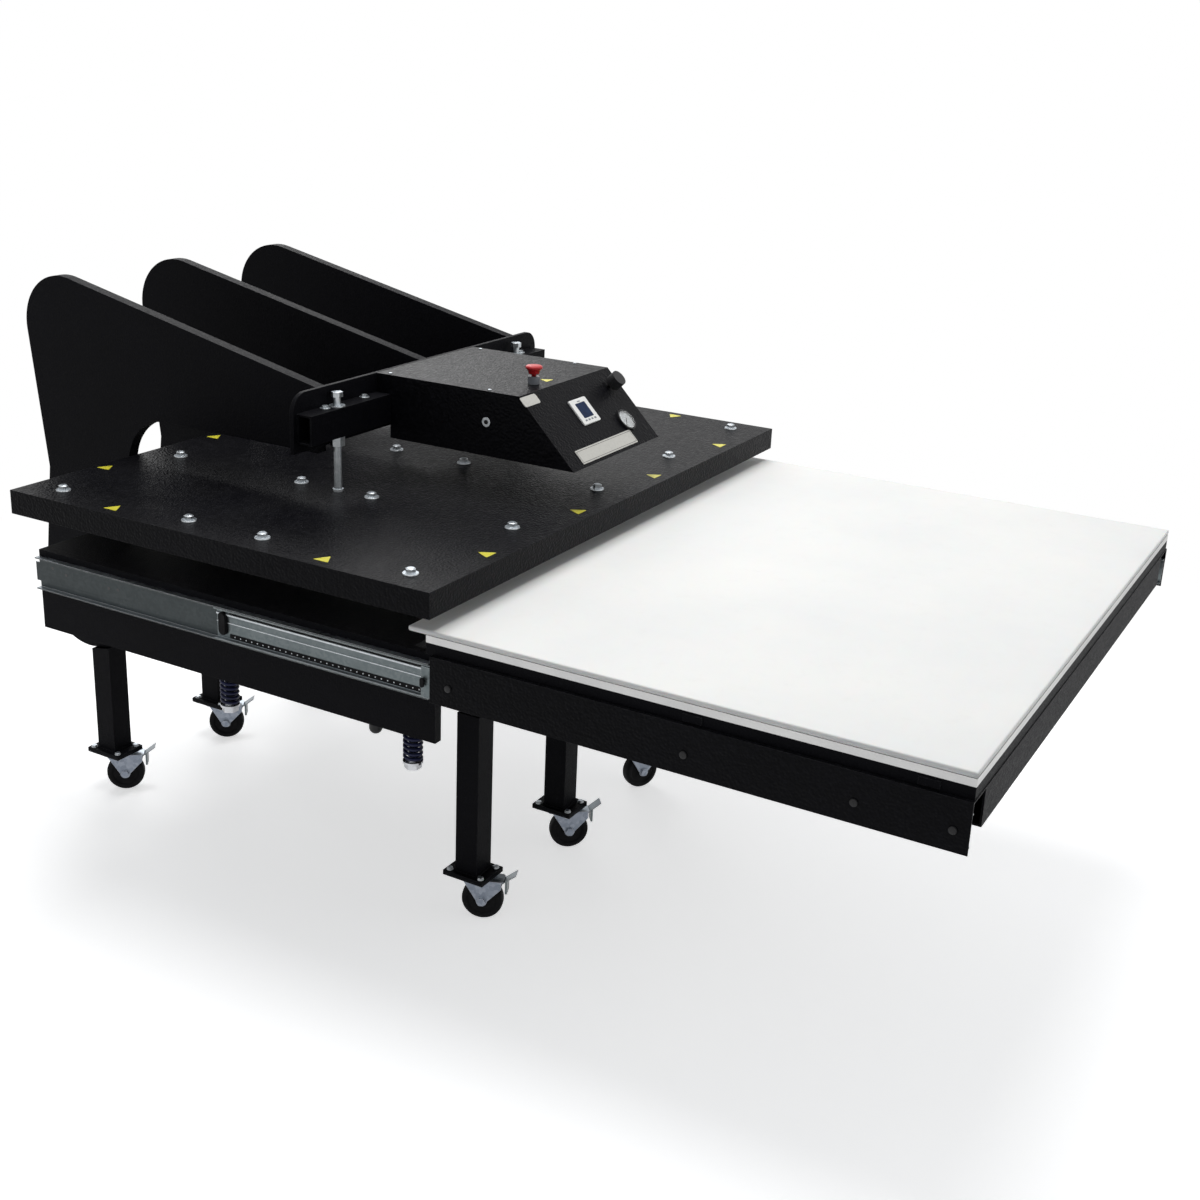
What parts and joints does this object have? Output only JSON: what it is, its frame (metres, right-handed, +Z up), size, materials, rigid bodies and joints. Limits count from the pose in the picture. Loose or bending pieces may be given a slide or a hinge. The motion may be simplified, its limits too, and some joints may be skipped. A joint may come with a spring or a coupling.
{
  "type": "pneumatic heat press",
  "caption": "Large drawer-type pneumatic heat press on casters: heated upper platen on a C-plate frame, lifting bed and a padded table that slides out to the front.",
  "frame": {"origin": "on the floor, under the middle of the machine's box with the table drawn out", "axes": "+Z up, +Y to the back of the machine, +X to the operator's right"},
  "size_m": [1.64, 2.6093, 1.3872],
  "materials": {
    "frame_paint": "black textured powder coat on steel plate and tube",
    "sheet_paint": "black fine-texture powder coat on sheet steel",
    "zinc": "bright zinc plate",
    "aluminium": "mill-finish aluminium",
    "polished_steel": "ground and chromed rod",
    "element_steel": "heat-darkened element sheath",
    "insulation": "compressed mineral wool board",
    "silicone": "white silicone sponge sheet",
    "white_plastic": "moulded white housing",
    "screen_glass": "dark display window",
    "gauge_steel": "gauge case with a white dial",
    "clear_glass": "clear lens",
    "needle_paint": "black needle",
    "black_plastic": "moulded black plastic",
    "cast_body": "cast body",
    "grey_plastic": "grey plastic collar",
    "red_plastic": "red plastic mushroom head",
    "spring_paint": "blue painted spring wire",
    "black_rubber": "black rubber tread and hub"
  },
  "bodies": {
    "frame": {"left_frame": "frame_paint", "middle_frame": "frame_paint", "right_frame": "frame_paint", "caster_bolts": "zinc", "cross_rails": "frame_paint", "cross_beam": "frame_paint", "suspension_rods": "zinc", "platen_cover": "sheet_paint", "heating_plate": "aluminium", "heating_element": "element_steel", "platen_insulation": "insulation", "platen_bolts": "zinc", "control_box": "sheet_paint", "control_box_base": "sheet_paint", "controller": "white_plastic", "display_screen": "screen_glass", "gauge_case": "gauge_steel", "gauge_glass": "clear_glass", "regulator_body": "cast_body", "e_stop_body": "grey_plastic", "box_fittings": "zinc", "power_relay": "black_plastic", "solenoid_valve": "black_plastic", "air_cylinders": "aluminium", "air_filter": "black_plastic", "return_springs": "spring_paint"},
    "bed": {"bed_frame": "frame_paint", "bed_deck": "frame_paint", "outer_slides": "zinc", "guide_rods": "zinc", "piston_rods": "polished_steel"},
    "table": {"silicone_pad": "silicone", "lower_plate": "aluminium", "table_skirts": "sheet_paint", "table_frame": "frame_paint", "inner_slides": "zinc"},
    "left_slide": {"left_middle_slide": "zinc"},
    "right_slide": {"right_middle_slide": "zinc"},
    "e_stop": {"e_stop_button": "red_plastic"},
    "regulator": {"regulator_knob": "black_plastic"},
    "needle": {"gauge_needle": "needle_paint"},
    "lock": {"lock_plug": "zinc"},
    "front_left_swivel": {"front_left_fork": "zinc"},
    "front_left_roller": {"front_left_wheel": "black_rubber"},
    "front_left_pedal": {"front_left_brake": "zinc"},
    "front_middle_swivel": {"front_middle_fork": "zinc"},
    "front_middle_roller": {"front_middle_wheel": "black_rubber"},
    "front_middle_pedal": {"front_middle_brake": "zinc"},
    "front_right_swivel": {"front_right_fork": "zinc"},
    "front_right_roller": {"front_right_wheel": "black_rubber"},
    "front_right_pedal": {"front_right_brake": "zinc"},
    "rear_left_swivel": {"rear_left_fork": "zinc"},
    "rear_left_roller": {"rear_left_wheel": "black_rubber"},
    "rear_left_pedal": {"rear_left_brake": "zinc"},
    "rear_middle_swivel": {"rear_middle_fork": "zinc"},
    "rear_middle_roller": {"rear_middle_wheel": "black_rubber"},
    "rear_middle_pedal": {"rear_middle_brake": "zinc"},
    "rear_right_swivel": {"rear_right_fork": "zinc"},
    "rear_right_roller": {"rear_right_wheel": "black_rubber"},
    "rear_right_pedal": {"rear_right_brake": "zinc"}
  },
  "joints": [
    {"name": "bed_lift", "type": "slide", "parent": "frame", "child": "bed", "axis": [0, 0, 1], "range_m": [0, 0.028], "stiffness_N_per_m": 30000, "springref_m": -0.01, "deforming": ["return_springs"]},
    {"name": "table_slide", "type": "slide", "parent": "bed", "child": "table", "axis": [0, 1, 0], "range_m": [0, 1.086]},
    {"name": "left_slide_travel", "type": "slide", "parent": "bed", "child": "left_slide", "axis": [0, 1, 0], "range_m": [0, 0.543]},
    {"name": "right_slide_travel", "type": "slide", "parent": "bed", "child": "right_slide", "axis": [0, 1, 0], "range_m": [0, 0.543]},
    {"name": "e_stop_press", "type": "slide", "parent": "frame", "child": "e_stop", "axis": [0, 0, -1], "range_m": [0, 0.005], "stiffness_N_per_m": 1500, "springref_m": -0.002},
    {"name": "regulator_turn", "type": "hinge", "parent": "frame", "child": "regulator", "pos_m": [0.16, -0.07039, 1.18783], "axis": [0, -0.7118, 0.7024], "range_deg": [-720, 720]},
    {"name": "gauge_needle_turn", "type": "hinge", "parent": "frame", "child": "needle", "pos_m": [0.122, -0.13782, 1.1195], "axis": [0, -0.7118, 0.7024], "range_deg": [-270, 0], "stiffness_Nm_per_rad": 0.002},
    {"name": "lock_turn", "type": "hinge", "parent": "frame", "child": "lock", "pos_m": [-0.205, 0.04833, 1.15], "axis": [1, 0, 0], "range_deg": [0, 90]},
    {"name": "front_left_swivel_turn", "type": "hinge", "parent": "frame", "child": "front_left_swivel", "pos_m": [-0.4, -0.06367, 0.11], "axis": [0, 0, 1], "continuous": true},
    {"name": "front_left_wheel_roll", "type": "hinge", "parent": "front_left_swivel", "child": "front_left_roller", "pos_m": [-0.39064, -0.08685, 0.05], "axis": [-0.9272, -0.3746, 0], "continuous": true},
    {"name": "front_left_brake_press", "type": "hinge", "parent": "front_left_swivel", "child": "front_left_pedal", "pos_m": [-0.37528, -0.12486, 0.09201], "axis": [0.9272, 0.3746, 0], "range_deg": [0, 20]},
    {"name": "front_middle_swivel_turn", "type": "hinge", "parent": "frame", "child": "front_middle_swivel", "pos_m": [0, -0.06367, 0.11], "axis": [0, 0, 1], "continuous": true},
    {"name": "front_middle_wheel_roll", "type": "hinge", "parent": "front_middle_swivel", "child": "front_middle_roller", "pos_m": [0.01607, -0.08282, 0.05], "axis": [-0.766, -0.6428, 0], "continuous": true},
    {"name": "front_middle_brake_press", "type": "hinge", "parent": "front_middle_swivel", "child": "front_middle_pedal", "pos_m": [0.04242, -0.11423, 0.09201], "axis": [0.766, 0.6428, 0], "range_deg": [0, 20]},
    {"name": "front_right_swivel_turn", "type": "hinge", "parent": "frame", "child": "front_right_swivel", "pos_m": [0.4, -0.06367, 0.11], "axis": [0, 0, 1], "continuous": true},
    {"name": "front_right_wheel_roll", "type": "hinge", "parent": "front_right_swivel", "child": "front_right_roller", "pos_m": [0.42165, -0.07617, 0.05], "axis": [-0.5, -0.866, 0], "continuous": true},
    {"name": "front_right_brake_press", "type": "hinge", "parent": "front_right_swivel", "child": "front_right_pedal", "pos_m": [0.45715, -0.09667, 0.09201], "axis": [0.5, 0.866, 0], "range_deg": [0, 20]},
    {"name": "rear_left_swivel_turn", "type": "hinge", "parent": "frame", "child": "rear_left_swivel", "pos_m": [-0.4, 1.10233, 0.11], "axis": [0, 0, 1], "continuous": true},
    {"name": "rear_left_wheel_roll", "type": "hinge", "parent": "rear_left_swivel", "child": "rear_left_roller", "pos_m": [-0.38461, 1.08263, 0.05], "axis": [-0.788, -0.6157, 0], "continuous": true},
    {"name": "rear_left_brake_press", "type": "hinge", "parent": "rear_left_swivel", "child": "rear_left_pedal", "pos_m": [-0.35937, 1.05032, 0.09201], "axis": [0.788, 0.6157, 0], "range_deg": [0, 20]},
    {"name": "rear_middle_swivel_turn", "type": "hinge", "parent": "frame", "child": "rear_middle_swivel", "pos_m": [0, 1.10233, 0.11], "axis": [0, 0, 1], "continuous": true},
    {"name": "rear_middle_wheel_roll", "type": "hinge", "parent": "rear_middle_swivel", "child": "rear_middle_roller", "pos_m": [0.01398, 1.0816, 0.05], "axis": [-0.829, -0.5592, 0], "continuous": true},
    {"name": "rear_middle_brake_press", "type": "hinge", "parent": "rear_middle_swivel", "child": "rear_middle_pedal", "pos_m": [0.03691, 1.04761, 0.09201], "axis": [0.829, 0.5592, 0], "range_deg": [0, 20]},
    {"name": "rear_right_swivel_turn", "type": "hinge", "parent": "frame", "child": "rear_right_swivel", "pos_m": [0.4, 1.10233, 0.11], "axis": [0, 0, 1], "continuous": true},
    {"name": "rear_right_wheel_roll", "type": "hinge", "parent": "rear_right_swivel", "child": "rear_right_roller", "pos_m": [0.4125, 1.08068, 0.05], "axis": [-0.866, -0.5, 0], "continuous": true},
    {"name": "rear_right_brake_press", "type": "hinge", "parent": "rear_right_swivel", "child": "rear_right_pedal", "pos_m": [0.433, 1.04517, 0.09201], "axis": [0.866, 0.5, 0], "range_deg": [0, 20]}
  ],
  "couplings": [
    {"joint": "left_slide_travel", "follows": "table_slide", "ratio": 0.5},
    {"joint": "right_slide_travel", "follows": "table_slide", "ratio": 0.5}
  ]
}
